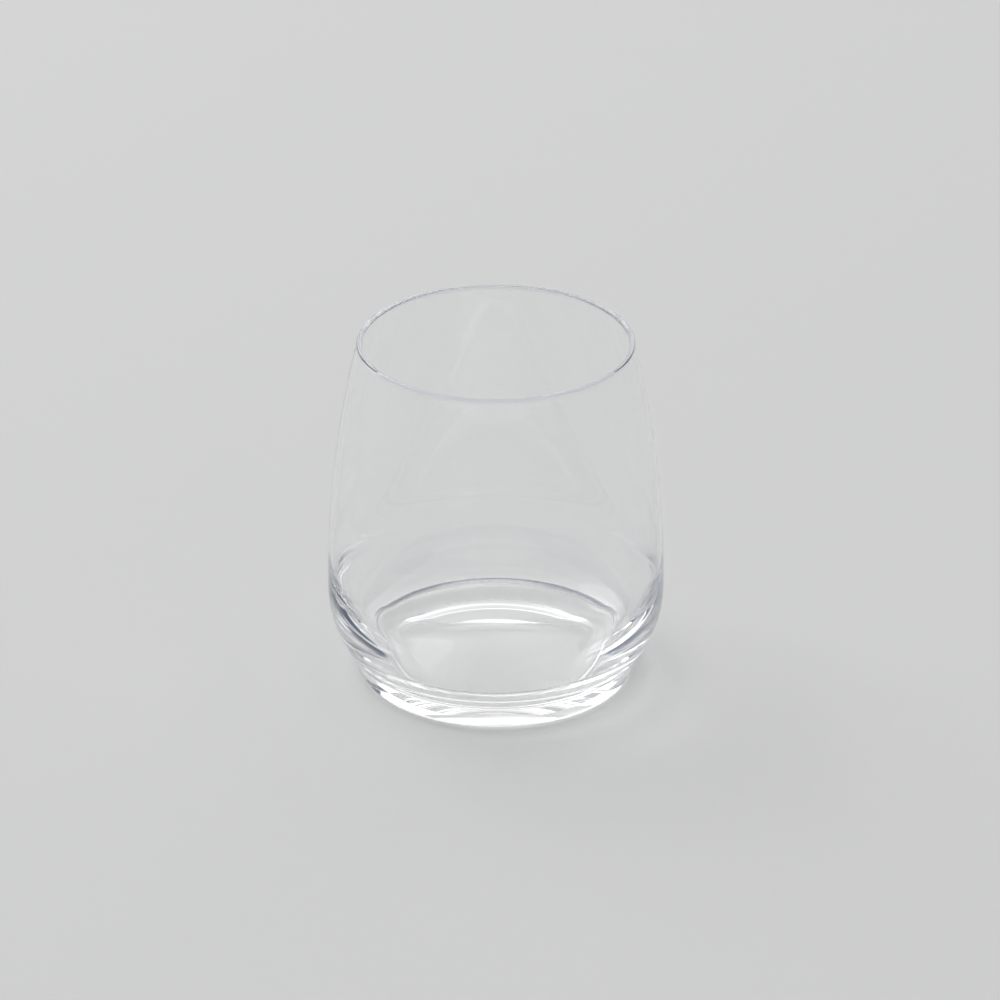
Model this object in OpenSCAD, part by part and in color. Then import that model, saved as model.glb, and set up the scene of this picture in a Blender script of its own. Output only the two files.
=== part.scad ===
// Stemless wine glass: a thin bowl that tapers to a flame-polished lip, on a thick pressed foot.
// The three zones of the glass are separate solids that meet face to face.
// Millimetres, +Z up, with the origin at the middle of the foot on the table.

/* [Outside] */
// Overall height of the glass
glass_h = 96; // [80:0.5:120]
// Diameter of the widest circle of the bowl
belly_d = 90; // [82:0.5:110]
// Height of the widest circle above the table
belly_z = 25; // [20:0.5:36]
// Outer diameter of the lip
lip_d = 73.4; // [60:0.2:79]

/* [Foot] */
// Diameter of the foot, where the bowl meets it
foot_d = 73.4; // [60:0.2:78]
// Height of the foot, from the table to the crease under the bowl
foot_h = 5.2; // [4:0.1:8]
// Radius of the foot's lower edge
foot_edge_r = 1; // [0.6:0.1:2.5]
// Width of the flat ring that stands on the table
ring_w = 7.4; // [2:0.1:12]
// Depth of the hollow inside the standing ring
hollow_h = 1.9; // [0.6:0.1:2.8]

/* [Heel] */
// Radius of the turn from the side of the bowl to the foot
heel_r = 9.5; // [4:0.5:14]
// Lean of the heel from upright, where it meets the foot, in degrees
heel_lean = 62; // [45:1:75]

/* [Inside] */
// Thickness of the side wall
wall_t = 1.3; // [0.9:0.1:2.5]
// Height above the widest circle at which the wall starts to thicken towards the heel
thicken_up = 10; // [2:0.5:20]
// Radius of the inner wall from there down to the floor's turn, so that the heel grows thick
thicken_r = 44; // [34:1:80]
// Thickness of the bowl's floor above the foot, at the middle
floor_t = 2.6; // [1:0.1:6]
// Radius of the shallow dish of the floor
floor_dish_r = 400; // [150:10:1000]
// Radius of the inner turn from the floor to the wall
turn_r = 9; // [6:0.5:20]

/* [Lip] */
// Height of the lip zone, from its seat on the bowl to the top
lip_h = 3; // [2:0.1:6]
// Thickness of the rounded bead along the edge
bead_d = 1.5; // [1.1:0.1:3]

/* [Hidden] */

// Facets of a turned face and of a circle in a profile
turn_facets = 240;
arc_facets = 1440;

// Colour of the clear glass, with a slightly deeper tone where it is thick
thin_glass = [0.87, 0.90, 0.92, 0.45];
thick_glass = [0.78, 0.84, 0.87, 0.6];

// Depth at which a small arc crosses the larger one that it blends into, so that their edge is clean
hair = 0.003;

// A profile point is [radius, height]
belly_r = belly_d / 2;
foot_r = foot_d / 2;
crease = [foot_r, foot_h];

// The long side arc is upright at the belly and runs up to the lip
lip_r = (lip_d - bead_d + wall_t) / 2;
side_up = glass_h - bead_d / 2 - belly_z;
side_in = belly_r - lip_r;
side_r = hundredths((side_up ^ 2 + side_in ^ 2) / (2 * side_in));
side_c = [belly_r - side_r, belly_z];

// The bead is centred on the middle of the wall
bead_c = side_c + [sqrt((side_r - wall_t / 2) ^ 2 - side_up ^ 2), side_up];

// The heel arc takes at most this share of the room under the belly
heel_share = 0.8;
heel_room = (belly_r - foot_r) / (1 - cos(heel_lean));
heel_arc_r = hundredths(min(heel_r, heel_share * heel_room));

// The lower arc is upright at the belly and takes in the heel arc, which leans as set above at the crease
heel_in = belly_r - foot_r + heel_arc_r * cos(heel_lean);
heel_down = belly_z - foot_h - heel_arc_r * sin(heel_lean);
lower_r = hundredths((heel_in ^ 2 + heel_down ^ 2 - heel_arc_r ^ 2) / (2 * (heel_in - heel_arc_r)));
lower_c = [belly_r - lower_r, belly_z];
heel_c = crossing(crease, heel_arc_r, lower_c, lower_r - heel_arc_r + hair);

// The dished floor is level at the middle
floor_z = foot_h + floor_t;
floor_c = [0, floor_z + floor_dish_r];

// The thickening arc leaves the inner side arc in this direction from both their centres
thicken_way = asin(thicken_up / (side_r - wall_t));
thicken_c = side_c + (side_r - wall_t - thicken_r + hair) * [cos(thicken_way), sin(thicken_way)];

// The inner turn blends the floor into the thickening arc
turn_c = crossing(thicken_c, thicken_r - turn_r + hair, floor_c, floor_dish_r - turn_r + hair);

// The lip sits on the bowl at this height
seat_z = glass_h - lip_h;

// The hollow under the foot is a cap of a large ball
hollow_r = foot_r - foot_edge_r - ring_w;
hollow_ball_r = (hollow_r ^ 2 + hollow_h ^ 2) / (2 * hollow_h);

// Whole hundredths of a millimetre, so that arcs that share a point share it exactly
function hundredths(size) = round(100 * size) / 100;

// Direction from one point to another, in degrees
function direction(from, to) = atan2(to.y - from.y, to.x - from.x);

// Crossing of two circles, to the right of the way from the first centre to the second
function crossing(a, a_r, b, b_r) =
    let (
        span = norm(b - a),
        along = (span ^ 2 + a_r ^ 2 - b_r ^ 2) / (2 * span),
        aside = sqrt(a_r ^ 2 - along ^ 2),
        dir = (b - a) / span
    )
    a + along * dir + aside * [dir.y, -dir.x];

// Band of the profile between two heights
module band(low, high) {
    translate([0, low])
        square([belly_d, high - low]);
}

module disc(c, r) {
    translate(c)
        circle(r = r, $fn = arc_facets);
}

// What lies outside an arc, in the wedge between two directions from its centre
module outside_arc(c, r, from, to) {
    reach = 3 * r;
    difference() {
        translate(c)
            polygon([[0, 0], for (a = [from, (from + to) / 2, to]) reach * [cos(a), sin(a)]]);
        disc(c, r);
    }
}

// Side arc and lower arc, drawn in by a distance and filled to the axis between two heights
module side_profile(inset, low, high) {
    intersection() {
        disc(side_c, side_r - inset);
        band(belly_z, high);
    }
    intersection() {
        disc(lower_c, lower_r - inset);
        band(low, belly_z);
    }
}

// Outline of the glass from the crease to the bead, filled to the axis
module outer_profile() {
    difference() {
        side_profile(0, foot_h, bead_c.y);
        outside_arc(heel_c, heel_arc_r, direction(lower_c, heel_c), -90);
    }
}

// Outline of the space for the wine, filled to the axis
module cavity_profile() {
    difference() {
        intersection() {
            side_profile(wall_t, floor_z, glass_h);
            disc(floor_c, floor_dish_r);
        }
        outside_arc(thicken_c, thicken_r, thicken_way, -90);
        outside_arc(turn_c, turn_r, direction(thicken_c, turn_c), direction(floor_c, turn_c));
    }
}

// Section of the glass between two heights
module wall_section(low, high) {
    intersection() {
        difference() {
            outer_profile();
            cavity_profile();
        }
        band(low, high);
    }
}

// Flame-polished lip: the top of the wall, ending in a rounded bead
module rim() {
    color(thin_glass)
        rotate_extrude($fn = turn_facets) {
            wall_section(seat_z, bead_c.y);
            disc(bead_c, bead_d / 2);
        }
}

// Blown bowl: the thin side wall, the thick heel and the dished floor
module bowl() {
    color(thin_glass)
        rotate_extrude($fn = turn_facets)
            wall_section(foot_h, seat_z);
}

// Pressed foot: a disc with a rounded lower edge, a flat standing ring and a shallow hollow
module foot() {
    edge_c = [foot_r - foot_edge_r, foot_edge_r];
    color(thick_glass)
        rotate_extrude($fn = turn_facets)
            difference() {
                union() {
                    square([edge_c.x, foot_h]);
                    translate([0, edge_c.y])
                        square([foot_r, foot_h - edge_c.y]);
                    disc(edge_c, foot_edge_r);
                }
                disc([0, hollow_h - hollow_ball_r], hollow_ball_r);
            }
}

rim();
bowl();
foot();
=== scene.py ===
"""Looks of a stemless wine glass: clear glass on a pale table, in soft light from the back left.

The rim, the bowl and the foot are spun from one half section of arcs, so that they look like one
continuous piece of glass. Its sizes are in millimetres until they reach a mesh, which is in metres.
"""

from __future__ import annotations

import logging
import math
from dataclasses import dataclass
from enum import Enum
from typing import ClassVar

import bmesh
import bpy
from mathutils import Matrix, Vector

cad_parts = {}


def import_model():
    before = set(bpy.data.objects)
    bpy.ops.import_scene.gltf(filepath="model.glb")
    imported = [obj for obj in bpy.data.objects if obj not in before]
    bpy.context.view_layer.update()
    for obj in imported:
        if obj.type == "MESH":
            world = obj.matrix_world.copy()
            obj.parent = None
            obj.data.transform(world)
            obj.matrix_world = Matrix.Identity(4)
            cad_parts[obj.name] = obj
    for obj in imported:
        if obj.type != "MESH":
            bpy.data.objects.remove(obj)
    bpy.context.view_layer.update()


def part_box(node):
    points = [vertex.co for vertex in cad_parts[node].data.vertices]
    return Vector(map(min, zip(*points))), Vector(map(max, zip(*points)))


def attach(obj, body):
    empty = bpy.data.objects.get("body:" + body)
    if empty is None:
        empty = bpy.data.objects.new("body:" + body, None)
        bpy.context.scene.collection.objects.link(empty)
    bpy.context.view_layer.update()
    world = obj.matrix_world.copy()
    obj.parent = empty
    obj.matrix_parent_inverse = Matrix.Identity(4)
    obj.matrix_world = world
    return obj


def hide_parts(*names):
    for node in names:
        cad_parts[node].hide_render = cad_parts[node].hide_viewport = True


MM = 0.001
AXIS = (0.0, 0.0, 1.0)

# Painted shade: the lip's edge gets a darker, bluer copy of the clear glass, for the slate line that shows
# where the view runs down the length of the wall
LIP_EDGE_PAINTED_SHADE = (0.9, 0.92, 0.948)

log = logging.getLogger("stemless_glass")


class Face(Enum):
    """Kind of face: on the air, inside the glass or on the lip's edge. The value is its material slot."""

    SKIN = 0
    SEAM = 1
    EDGE = 2


@dataclass(frozen=True)
class Circle:
    """Circle in the half section, whose points are (radius, height)."""

    centre: Vector
    radius: float

    def angle_to(self, point: Vector) -> float:
        """Direction from the centre to a point, in radians."""
        way = point - self.centre
        return math.atan2(way.y, way.x)

    def point_at(self, height: float) -> Vector:
        """Point of the circle's outer half at a height."""
        rise = height - self.centre.y
        return Vector((self.centre.x + math.sqrt(self.radius**2 - rise**2), height))

    def point_towards(self, point: Vector) -> Vector:
        """Point where the line from the centre through another point meets the circle."""
        return self.centre + self.radius * (point - self.centre).normalized()

    def drawn_in(self, depth: float) -> Circle:
        """Circle about the same centre, smaller by a depth."""
        return Circle(self.centre, self.radius - depth)

    def crossing(self, other: Circle) -> Vector:
        """Find where this circle meets another one.

        Args:
            other: The other circle.

        Returns:
            The crossing to the right of the way from this centre to the other.
        """
        way = other.centre - self.centre
        span = way.length
        along = (span**2 + self.radius**2 - other.radius**2) / (2 * span)
        aside = math.sqrt(self.radius**2 - along**2)
        way = way / span
        return self.centre + along * way + aside * Vector((way.y, -way.x))


@dataclass(frozen=True)
class GlassSizes:
    """Driving sizes of the glass in millimetres."""

    glass_h: float
    belly_r: float
    foot_r: float
    foot_h: float
    seat_z: float
    belly_z: float = 25.0
    lip_d: float = 73.4
    bead_d: float = 1.5
    wall_t: float = 1.3
    heel_r: float = 9.5
    heel_lean: float = 62.0
    thicken_up: float = 10.0
    thicken_r: float = 44.0
    floor_t: float = 2.6
    floor_dish_r: float = 400.0
    turn_r: float = 9.0
    foot_edge_r: float = 1.0
    ring_w: float = 7.4
    hollow_h: float = 2.6

    @classmethod
    def from_frame(cls) -> GlassSizes:
        """Take the heights and the widths that the frame knows, to a tenth of a millimetre.

        Returns:
            The sizes of the glass.
        """
        rim_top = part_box("rim")[1]
        bowl_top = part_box("bowl")[1]
        foot_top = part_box("foot")[1]
        return cls(
            glass_h=round(rim_top.z / MM, 1),
            belly_r=round(bowl_top.x / MM, 1),
            foot_r=round(foot_top.x / MM, 1),
            foot_h=round(foot_top.z / MM, 1),
            seat_z=round(bowl_top.z / MM, 1),
        )


class HalfSection:
    """Arcs of the half section, worked out from the driving sizes."""

    def __init__(self, sizes: GlassSizes) -> None:
        """Work out every arc.

        Args:
            sizes: Driving sizes of the glass.
        """
        self.sizes = sizes
        self.crease = Vector((sizes.foot_r, sizes.foot_h))
        self.side, self.bead = self._side_and_bead()
        self.lower, self.heel = self._lower_and_heel()
        self.inner_side = self.side.drawn_in(sizes.wall_t)
        self.thicken_from = self.inner_side.point_at(sizes.belly_z + sizes.thicken_up)
        self.thicken = self._thickening()
        floor_z = sizes.foot_h + sizes.floor_t
        self.floor = Circle(Vector((0, floor_z + sizes.floor_dish_r)), sizes.floor_dish_r)
        turn_centre = self.thicken.drawn_in(sizes.turn_r).crossing(self.floor.drawn_in(sizes.turn_r))
        self.turn = Circle(turn_centre, sizes.turn_r)
        hollow_r = sizes.foot_r - sizes.foot_edge_r - sizes.ring_w
        ball_r = (hollow_r**2 + sizes.hollow_h**2) / (2 * sizes.hollow_h)
        self.hollow_edge = Vector((hollow_r, 0))
        self.hollow = Circle(Vector((0, sizes.hollow_h - ball_r)), ball_r)
        edge_centre = Vector((sizes.foot_r - sizes.foot_edge_r, sizes.foot_edge_r))
        self.foot_edge = Circle(edge_centre, sizes.foot_edge_r)

    def _side_and_bead(self) -> tuple[Circle, Circle]:
        """Work out the long side arc, upright at the belly, and the bead that ends it.

        Returns:
            The side arc and the bead.
        """
        sizes = self.sizes
        lip_r = (sizes.lip_d - sizes.bead_d + sizes.wall_t) / 2
        up = sizes.glass_h - sizes.bead_d / 2 - sizes.belly_z
        inward = sizes.belly_r - lip_r
        side_r = (up**2 + inward**2) / (2 * inward)
        side = Circle(Vector((sizes.belly_r - side_r, sizes.belly_z)), side_r)
        middle = side.drawn_in(sizes.wall_t / 2)
        return side, Circle(middle.point_at(sizes.belly_z + up), sizes.bead_d / 2)

    def _lower_and_heel(self) -> tuple[Circle, Circle]:
        """Work out the lower arc, upright at the belly, and the heel arc between it and the crease.

        Returns:
            The lower arc and the heel arc.
        """
        sizes = self.sizes
        lean = math.radians(sizes.heel_lean)
        inward = sizes.belly_r - sizes.foot_r + sizes.heel_r * math.cos(lean)
        down = sizes.belly_z - sizes.foot_h - sizes.heel_r * math.sin(lean)
        lower_r = (inward**2 + down**2 - sizes.heel_r**2) / (2 * (inward - sizes.heel_r))
        lower = Circle(Vector((sizes.belly_r - lower_r, sizes.belly_z)), lower_r)
        heel_centre = Circle(self.crease, sizes.heel_r).crossing(lower.drawn_in(sizes.heel_r))
        return lower, Circle(heel_centre, sizes.heel_r)

    def _thickening(self) -> Circle:
        """Work out the arc that leaves the inner side arc above the belly, so that the heel grows thick."""
        way = (self.thicken_from - self.inner_side.centre).normalized()
        return Circle(self.thicken_from - self.sizes.thicken_r * way, self.sizes.thicken_r)


class ProfilePen:
    """Draws a half section as a chain of edges and spins it about the upright axis."""

    # Turn of a facet in degrees, its least length in millimetres and the least facets of an arc
    FACET_ANGLE = 0.9
    LEAST_FACET = 0.04
    LEAST_STEPS = 12

    # Facets of a full turn, and the distance in metres at which points merge
    TURNS = 256
    MERGE = 1e-6

    # Angle in degrees past which an edge stays crisp
    SOFT_ANGLE = 25.0

    # Axis about which the section's arcs turn to the left
    SECTION_AXIS = (0, -1, 0)

    def __init__(self, start: Vector) -> None:
        """Start a chain at a point.

        Args:
            start: Radius and height of the first point.
        """
        self.mesh = bmesh.new()
        self.tip = self.mesh.verts.new(self._place(start))

    @staticmethod
    def _place(point: Vector) -> Vector:
        """Place of a section point in the mesh."""
        return Vector((point.x * MM, 0, point.y * MM))

    def _at(self) -> Vector:
        """Radius and height of the tip."""
        return Vector((self.tip.co.x, self.tip.co.z)) / MM

    def line_to(self, end: Vector) -> None:
        """Draw a straight edge.

        Args:
            end: Radius and height of its end.
        """
        made = bmesh.ops.extrude_vert_indiv(self.mesh, verts=[self.tip])
        self.tip = made["verts"][0]
        bmesh.ops.translate(self.mesh, verts=[self.tip], vec=self._place(end) - self.tip.co)

    def arc_to(self, circle: Circle, end: Vector, left: bool = True) -> None:
        """Draw an arc from the tip.

        Args:
            circle: Circle that the arc follows.
            end: Point that the arc ends at.
            left: True if the arc turns to the left.
        """
        sweep = (circle.angle_to(end) - circle.angle_to(self._at())) % math.tau
        if not left:
            sweep -= math.tau
        facet = max(circle.radius * math.radians(self.FACET_ANGLE), self.LEAST_FACET)
        steps = max(self.LEAST_STEPS, math.ceil(abs(sweep) * circle.radius / facet))
        centre = self._place(circle.centre)
        made = bmesh.ops.spin(
            self.mesh, geom=[self.tip], cent=centre, axis=self.SECTION_AXIS, angle=sweep, steps=steps
        )
        self.tip = next(item for item in made["geom_last"] if isinstance(item, bmesh.types.BMVert))

    def spin(
        self, name: str, seams: list[float], soft_angle: float = SOFT_ANGLE, edge_from: float = math.inf
    ) -> bpy.types.Object:
        """Spin the chain into a closed piece.

        Args:
            name: Name of the piece.
            seams: Heights of the flat faces where the piece is fused to its neighbours.
            soft_angle: Angle in degrees past which an edge stays crisp.
            edge_from: Height above which the faces belong to the polished edge.

        Returns:
            The piece, in the scene.
        """
        chain = [*self.mesh.verts, *self.mesh.edges]
        bmesh.ops.spin(
            self.mesh,
            geom=chain,
            cent=(0, 0, 0),
            axis=AXIS,
            angle=math.tau,
            steps=self.TURNS,
            use_merge=True,
        )
        bmesh.ops.remove_doubles(self.mesh, verts=self.mesh.verts, dist=self.MERGE)
        bmesh.ops.recalc_face_normals(self.mesh, faces=self.mesh.faces)
        for face in self.mesh.faces:
            face.smooth = True
            face.material_index = self._kind(face, seams, edge_from).value
        for edge in self.mesh.edges:
            edge.smooth = edge.calc_face_angle(0) < math.radians(soft_angle)
        data = bpy.data.meshes.new(name)
        self.mesh.to_mesh(data)
        self.mesh.free()
        piece = bpy.data.objects.new(name, data)
        bpy.context.scene.collection.objects.link(piece)
        return piece

    def _kind(self, face: bmesh.types.BMFace, seams: list[float], edge_from: float) -> Face:
        """Tell what kind a face is.

        Args:
            face: Face of the spun mesh.
            seams: Heights of the flat faces where the piece is fused to its neighbours.
            edge_from: Height above which the faces belong to the polished edge.

        Returns:
            The kind of the face.
        """
        for seam in seams:
            if all(abs(vert.co.z - seam * MM) < self.MERGE for vert in face.verts):
                return Face.SEAM
        if face.calc_center_median().z > edge_from * MM:
            return Face.EDGE
        return Face.SKIN


@dataclass(frozen=True)
class ClearGlass:
    """Clear soda glass with a fire-polished skin that is never quite flat. Its waves are in millimetres."""

    name: str = "clear_glass"
    tint: tuple[float, float, float] = (0.996, 0.998, 1.0)
    index: float = 1.5
    wave_length: float = 22.0
    wave_depth: float = 0.01

    def material(self) -> bpy.types.Material:
        """Make the material of the faces that border on air.

        Returns:
            A clear refracting material with faint waves.
        """
        made = bpy.data.materials.new(self.name)
        made.use_nodes = True
        tree = made.node_tree
        shader = tree.nodes["Principled BSDF"]
        shader.inputs["Base Color"].default_value = (*self.tint, 1.0)
        shader.inputs["Transmission Weight"].default_value = 1.0
        shader.inputs["Roughness"].default_value = 0.0
        shader.inputs["IOR"].default_value = self.index
        place = tree.nodes.new("ShaderNodeTexCoord")
        waves = tree.nodes.new("ShaderNodeTexNoise")
        waves.inputs["Scale"].default_value = 1.0 / (self.wave_length * MM)
        waves.inputs["Detail"].default_value = 1.0
        bump = tree.nodes.new("ShaderNodeBump")
        bump.inputs["Strength"].default_value = 1.0
        bump.inputs["Distance"].default_value = self.wave_depth * MM
        tree.links.new(place.outputs["Object"], waves.inputs["Vector"])
        tree.links.new(waves.outputs["Fac"], bump.inputs["Height"])
        tree.links.new(bump.outputs["Normal"], shader.inputs["Normal"])
        return made


@dataclass(frozen=True)
class FusedSeam:
    """Face inside the glass, where two zones are one and light passes straight on."""

    name: str = "fused_seam"

    def material(self) -> bpy.types.Material:
        """Make the material of the faces inside the glass.

        Returns:
            A material that isn't seen at all.
        """
        made = bpy.data.materials.new(self.name)
        made.use_nodes = True
        made.node_tree.nodes["Principled BSDF"].inputs["Alpha"].default_value = 0.0
        return made


class GlassPiece:
    """One zone of the glass, which stands for the node of the same name."""

    node = ""
    slot = "clear_glass"
    body = "root"
    faces = (Face.SKIN, Face.SEAM)

    def __init__(self, section: HalfSection) -> None:
        """Keep the half section.

        Args:
            section: Arcs of the whole glass.
        """
        self.section = section
        self.sizes = section.sizes

    def build(self) -> bpy.types.Object:
        """Build the zone's mesh."""
        raise NotImplementedError

    def dress(self, piece: bpy.types.Object, finishes: dict[Face, bpy.types.Material]) -> None:
        """Give the piece its materials and its place in the frame.

        Args:
            piece: The built piece.
            finishes: Material of each kind of face.
        """
        for face in self.faces:
            piece.data.materials.append(finishes[face])
        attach(piece, self.body)
        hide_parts(self.node)
        log.info("%s: %d faces", piece.name, len(piece.data.polygons))


class Rim(GlassPiece):
    """Drinking lip: the top of the wall, ending in a flame-polished bead."""

    node = "rim"
    faces = (Face.SKIN, Face.SEAM, Face.EDGE)

    def build(self) -> bpy.types.Object:
        """Draw the lip from its seat round the bead and back.

        Returns:
            The lip.
        """
        section = self.section
        seat = self.sizes.seat_z
        start = section.side.point_at(seat)
        outer_end = section.side.crossing(section.bead)
        inner_end = section.inner_side.crossing(section.bead)
        pen = ProfilePen(start)
        pen.arc_to(section.side, outer_end)
        pen.arc_to(section.bead, inner_end)
        pen.arc_to(section.inner_side, section.inner_side.point_at(seat), left=False)
        pen.line_to(start)
        return pen.spin("lip", [seat], edge_from=min(outer_end.y, inner_end.y))


class Bowl(GlassPiece):
    """Blown bowl: the thin wall, the thick heel and the floor."""

    node = "bowl"

    def build(self) -> bpy.types.Object:
        """Draw the bowl from the middle of its underside round the outside and down the inside.

        Returns:
            The bowl.
        """
        section = self.section
        sizes = self.sizes
        pen = ProfilePen(Vector((0, sizes.foot_h)))
        pen.line_to(section.crease)
        pen.arc_to(section.heel, section.lower.point_towards(section.heel.centre))
        pen.arc_to(section.lower, section.lower.point_at(sizes.belly_z))
        pen.arc_to(section.side, section.side.point_at(sizes.seat_z))
        pen.line_to(section.inner_side.point_at(sizes.seat_z))
        pen.arc_to(section.inner_side, section.thicken_from, left=False)
        pen.arc_to(section.thicken, section.thicken.point_towards(section.turn.centre), left=False)
        pen.arc_to(section.turn, section.floor.point_towards(section.turn.centre), left=False)
        pen.arc_to(section.floor, Vector((0, sizes.foot_h + sizes.floor_t)), left=False)
        return pen.spin("bowl_body", [sizes.foot_h, sizes.seat_z])


class Foot(GlassPiece):
    """Pressed foot: a disc with a standing ring round a shallow hollow."""

    node = "foot"

    # The hollow meets the standing ring at a shallow angle, and that edge stays crisp
    SOFT_ANGLE = 5.0

    def build(self) -> bpy.types.Object:
        """Draw the foot from the middle of the hollow round its edge to the middle of its top.

        Returns:
            The foot.
        """
        section = self.section
        sizes = self.sizes
        pen = ProfilePen(Vector((0, sizes.hollow_h)))
        pen.arc_to(section.hollow, section.hollow_edge, left=False)
        pen.line_to(Vector((section.foot_edge.centre.x, 0)))
        pen.arc_to(section.foot_edge, Vector((sizes.foot_r, sizes.foot_edge_r)))
        pen.line_to(section.crease)
        pen.line_to(Vector((0, sizes.foot_h)))
        return pen.spin("foot_disc", [sizes.foot_h], soft_angle=self.SOFT_ANGLE)


@dataclass(frozen=True)
class Table:
    """Plain pale table top, a hair below the glass so that their faces don't coincide.

    Its half width is in metres and its drop below the glass in millimetres.
    """

    colour: tuple[float, float, float] = (0.64, 0.64, 0.634)
    roughness: float = 0.9
    gloss: float = 0.1
    half_width: float = 6.0
    drop: float = 0.3

    def build(self) -> bpy.types.Object:
        """Make the table top.

        Returns:
            The stage object.
        """
        mesh = bmesh.new()
        bmesh.ops.create_grid(mesh, x_segments=1, y_segments=1, size=self.half_width)
        bmesh.ops.translate(mesh, verts=mesh.verts, vec=(0, 0, -self.drop * MM))
        data = bpy.data.meshes.new("table_top")
        mesh.to_mesh(data)
        mesh.free()
        top = bpy.data.objects.new("table_top", data)
        bpy.context.scene.collection.objects.link(top)
        made = bpy.data.materials.new("pale_table")
        made.use_nodes = True
        shader = made.node_tree.nodes["Principled BSDF"]
        shader.inputs["Base Color"].default_value = (*self.colour, 1.0)
        shader.inputs["Roughness"].default_value = self.roughness
        shader.inputs["Specular IOR Level"].default_value = self.gloss
        data.materials.append(made)
        return top


@dataclass(frozen=True)
class Window:
    """Soft disc of light from the back left. Its angles are in degrees and its distance in metres."""

    from_side: tuple[float, float] = (-0.72, 0.69)
    elevation: float = 36.0
    distance: float = 2.0
    spread: float = 40.0
    strength: float = 0.6

    def build(self) -> None:
        """Add the lamp, which the glass doesn't mirror, and turn it to the glass."""
        rise = math.radians(self.elevation)
        side = Vector(self.from_side).normalized() * math.cos(rise)
        lamp = bpy.data.lights.new("window", "AREA")
        lamp.shape = "DISK"
        lamp.size = 2 * self.distance * math.tan(math.radians(self.spread / 2))
        lamp.energy = self.strength * math.pi * self.distance**2
        holder = bpy.data.objects.new("window", lamp)
        holder.visible_glossy = False
        bpy.context.scene.collection.objects.link(holder)
        aim(holder, self.distance * Vector((side.x, side.y, math.sin(rise))), Vector((0, 0, 0)))


class Join(Enum):
    """How two values of the sky become one. The value is the name of the node's operation."""

    SUM = "ADD"
    DIFFERENCE = "SUBTRACT"
    LARGER = "MAXIMUM"


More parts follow.
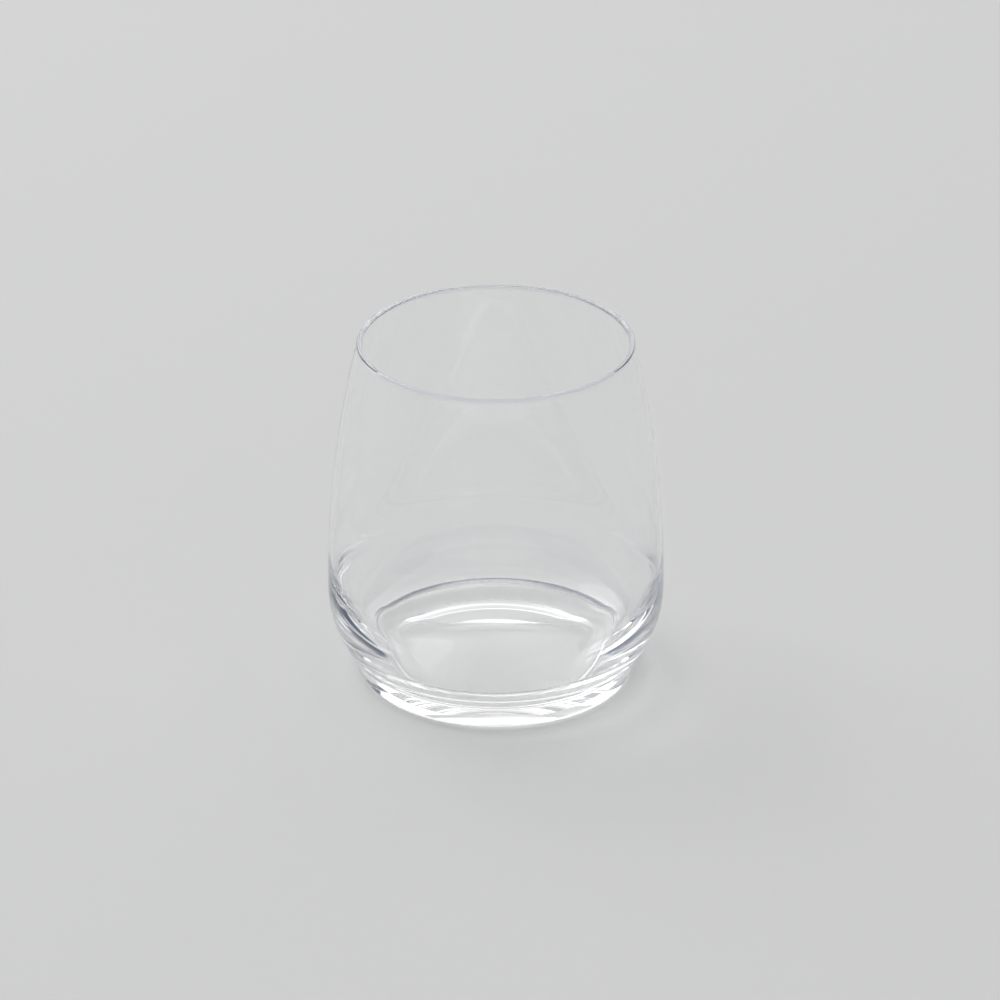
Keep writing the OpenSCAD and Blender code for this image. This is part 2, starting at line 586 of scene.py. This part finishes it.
@dataclass(frozen=True)
class Sky:
    """Pale sky, brighter at the back, over dim flags that darken the edges of the glass.

    A way is a direction, and an edge is the pair of values between which a change fades in. A top, rise,
    drop or gap is the sine of an elevation.
    """

    # Sockets of a colour mix, whose names are shared by other types of data
    MIX_FIRST: ClassVar[int] = 6
    MIX_LAST: ClassVar[int] = 7
    MIX_RESULT: ClassVar[int] = 2

    # Sine of the lowest elevation, where a gap has no height left
    STRAIGHT_DOWN: ClassVar[float] = -1.0

    # Open sky, with a lobe at the back right and a glow at the back left
    strength: float = 1.04
    front: float = 0.7
    lobe: float = 1.4
    lobe_way: tuple[float, float, float] = (0.35, 0.75, 0.56)
    lobe_edge: tuple[float, float] = (0.8, 0.98)
    glow: float = 1.3
    glow_way: tuple[float, float, float] = (-0.58, 0.56, 0.59)
    glow_edge: tuple[float, float] = (0.8, 0.97)

    # Flags: tall and dark on the right, paler elsewhere, raised on the left and open at the back
    right_way: tuple[float, float, float] = (1.0, 0.1, 0.0)
    right_edge: tuple[float, float] = (0.6, 0.85)
    right_top: float = 0.66
    right_tone: tuple[float, float, float] = (0.035, 0.055, 0.095)
    left_way: tuple[float, float, float] = (-1.0, 0.0, 0.0)
    left_edge: tuple[float, float] = (0.4, 0.8)
    left_rise: float = 0.2
    left_tone: tuple[float, float, float] = (0.14, 0.18, 0.25)
    front_top: float = 0.26
    back_way: tuple[float, float, float] = (0.0, 1.0, 0.0)
    back_edge: tuple[float, float] = (0.6, 0.9)
    back_drop: float = 0.28
    flag_edge: tuple[float, float] = (-0.03, 0.03)

    # Gap of open sky between the table and the front flag
    front_way: tuple[float, float, float] = (0.0, -1.0, 0.0)
    front_edge: tuple[float, float] = (0.5, 0.7)
    front_gap: float = 0.06
    gap_edge: tuple[float, float] = (-0.015, 0.015)

    def build(self) -> None:
        """Make the world from the direction that is looked in."""
        world = bpy.data.worlds.new("sky")
        bpy.context.scene.world = world
        world.use_nodes = True
        tree = world.node_tree
        rightness = self._facing(tree, self.right_way)
        flags = self._mixer(tree, self._ramp(tree, rightness, self.right_edge, (0.0, 1.0)))
        flags.inputs[self.MIX_FIRST].default_value = (*self.left_tone, 1.0)
        flags.inputs[self.MIX_LAST].default_value = (*self.right_tone, 1.0)
        whole = self._mixer(tree, self._clear(tree))
        tree.links.new(flags.outputs[self.MIX_RESULT], whole.inputs[self.MIX_FIRST])
        tree.links.new(self._open_sky(tree), whole.inputs[self.MIX_LAST])
        background = tree.nodes["Background"]
        background.inputs["Strength"].default_value = self.strength
        tree.links.new(whole.outputs[self.MIX_RESULT], background.inputs["Color"])

    def _open_sky(self, tree: bpy.types.NodeTree) -> bpy.types.NodeSocket:
        """Work out the light of the open sky.

        Args:
            tree: The world's nodes.

        Returns:
            The socket of its level.
        """
        lobe = self._ramp(tree, self._facing(tree, self.lobe_way), self.lobe_edge, (self.front, self.lobe))
        glow = self._ramp(tree, self._facing(tree, self.glow_way), self.glow_edge, (0.0, self.glow))
        return self._join(tree, Join.SUM, lobe, glow)

    def _flag_top(self, tree: bpy.types.NodeTree) -> bpy.types.NodeSocket:
        """Work out how high the flags reach.

        Args:
            tree: The world's nodes.

        Returns:
            The socket of the sine of the elevation of their tops.
        """
        tops = (self.front_top, self.right_top)
        top = self._ramp(tree, self._facing(tree, self.right_way), self.right_edge, tops)
        rise = self._ramp(tree, self._facing(tree, self.left_way), self.left_edge, (0.0, self.left_rise))
        drop = self._ramp(tree, self._facing(tree, self.back_way), self.back_edge, (0.0, self.back_drop))
        return self._join(tree, Join.DIFFERENCE, self._join(tree, Join.SUM, top, rise), drop)

    def _clear(self, tree: bpy.types.NodeTree) -> bpy.types.NodeSocket:
        """Work out where the open sky shows: above the flags, and in the gap under the front one.

        Args:
            tree: The world's nodes.

        Returns:
            The socket of the open sky's share.
        """
        height = self._facing(tree, AXIS)
        over = self._join(tree, Join.DIFFERENCE, height, self._flag_top(tree))
        above = self._ramp(tree, over, self.flag_edge, (0.0, 1.0))
        gaps = (self.STRAIGHT_DOWN, self.front_gap)
        gap = self._ramp(tree, self._facing(tree, self.front_way), self.front_edge, gaps)
        under = self._join(tree, Join.DIFFERENCE, gap, height)
        below = self._ramp(tree, under, self.gap_edge, (0.0, 1.0))
        return self._join(tree, Join.LARGER, above, below)

    @staticmethod
    def _facing(tree: bpy.types.NodeTree, way: tuple[float, float, float]) -> bpy.types.NodeSocket:
        """Measure how far the direction that is looked in faces another way.

        Args:
            tree: The world's nodes.
            way: The other way.

        Returns:
            The socket of the cosine between them.
        """
        looked = tree.nodes.new("ShaderNodeTexCoord")
        facing = tree.nodes.new("ShaderNodeVectorMath")
        facing.operation = "DOT_PRODUCT"
        facing.inputs[1].default_value = Vector(way).normalized()
        tree.links.new(looked.outputs["Generated"], facing.inputs[0])
        return facing.outputs["Value"]

    @staticmethod
    def _ramp(
        tree: bpy.types.NodeTree,
        value: bpy.types.NodeSocket,
        edge: tuple[float, float],
        levels: tuple[float, float],
    ) -> bpy.types.NodeSocket:
        """Turn a value into a soft step.

        Args:
            tree: The world's nodes.
            value: Socket of the value.
            edge: Where the step starts and ends.
            levels: Levels before and after the step.

        Returns:
            The socket of the level.
        """
        step = tree.nodes.new("ShaderNodeMapRange")
        step.interpolation_type = "SMOOTHSTEP"
        step.inputs["From Min"].default_value = edge[0]
        step.inputs["From Max"].default_value = edge[1]
        step.inputs["To Min"].default_value = levels[0]
        step.inputs["To Max"].default_value = levels[1]
        tree.links.new(value, step.inputs["Value"])
        return step.outputs["Result"]

    @staticmethod
    def _join(
        tree: bpy.types.NodeTree, how: Join, first: bpy.types.NodeSocket, last: bpy.types.NodeSocket
    ) -> bpy.types.NodeSocket:
        """Join two values into one.

        Args:
            tree: The world's nodes.
            how: How they are joined.
            first: Socket of the first value.
            last: Socket of the second value.

        Returns:
            The socket of the result.
        """
        made = tree.nodes.new("ShaderNodeMath")
        made.operation = how.value
        tree.links.new(first, made.inputs[0])
        tree.links.new(last, made.inputs[1])
        return made.outputs["Value"]

    @staticmethod
    def _mixer(tree: bpy.types.NodeTree, share: bpy.types.NodeSocket) -> bpy.types.Node:
        """Make a mix of two colours.

        Args:
            tree: The world's nodes.
            share: Socket of the last colour's share.

        Returns:
            The mix node.
        """
        mixer = tree.nodes.new("ShaderNodeMix")
        mixer.data_type = "RGBA"
        tree.links.new(share, mixer.inputs[0])
        return mixer


@dataclass(frozen=True)
class Viewpoint:
    """Camera that sees the glass as the photograph does.

    Its target and distance are in metres, its elevation in degrees, and its lens and sensor in millimetres.
    """

    target: tuple[float, float, float] = (0.0011, 0.0, 0.0492)
    distance: float = 1.6
    elevation: float = 26.36
    lens: float = 216.2
    sensor: float = 36.0

    def build(self) -> None:
        """Add the camera and make it the scene's own."""
        data = bpy.data.cameras.new("camera")
        data.lens = self.lens
        data.sensor_width = self.sensor
        camera = bpy.data.objects.new("camera", data)
        bpy.context.scene.collection.objects.link(camera)
        rise = math.radians(self.elevation)
        target = Vector(self.target)
        aim(camera, target + self.distance * Vector((0, -math.cos(rise), math.sin(rise))), target)
        bpy.context.scene.camera = camera


@dataclass(frozen=True)
class LightPaths:
    """How far light is followed through the skins and seams of the glass, so that no patch goes black."""

    bounces: int = 72
    seams: int = 144

    def apply(self) -> None:
        """Set the scene's light paths."""
        scene = bpy.context.scene
        scene.view_settings.view_transform = "Standard"
        cycles = scene.cycles
        cycles.max_bounces = self.bounces
        cycles.transmission_bounces = self.bounces
        cycles.glossy_bounces = self.bounces
        cycles.transparent_max_bounces = self.seams
        cycles.sample_clamp_indirect = 0.0
        cycles.blur_glossy = 0.0


def aim(item: bpy.types.Object, place: Vector, target: Vector) -> None:
    """Put a lamp or a camera in its place and turn it to a target.

    Args:
        item: Lamp or camera.
        place: Where it stands.
        target: What it faces.
    """
    turn = (target - place).to_track_quat("-Z", "Y").to_matrix().to_4x4()
    item.matrix_world = Matrix.Translation(place) @ turn


def main() -> None:
    """Load the frame, build the glass zone by zone and set the stage."""
    logging.basicConfig(level=logging.INFO, format="%(name)s %(message)s")
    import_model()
    section = HalfSection(GlassSizes.from_frame())
    finishes = {
        Face.SKIN: ClearGlass().material(),
        Face.SEAM: FusedSeam().material(),
        # The lip's edge is the clear glass with a painted shade tint
        Face.EDGE: ClearGlass(name="lip_edge_painted_shade", tint=LIP_EDGE_PAINTED_SHADE).material(),
    }
    for zone in (Rim(section), Bowl(section), Foot(section)):
        zone.dress(zone.build(), finishes)
    Table().build()
    Window().build()
    Sky().build()
    Viewpoint().build()
    LightPaths().apply()


if __name__ == "__main__":
    main()
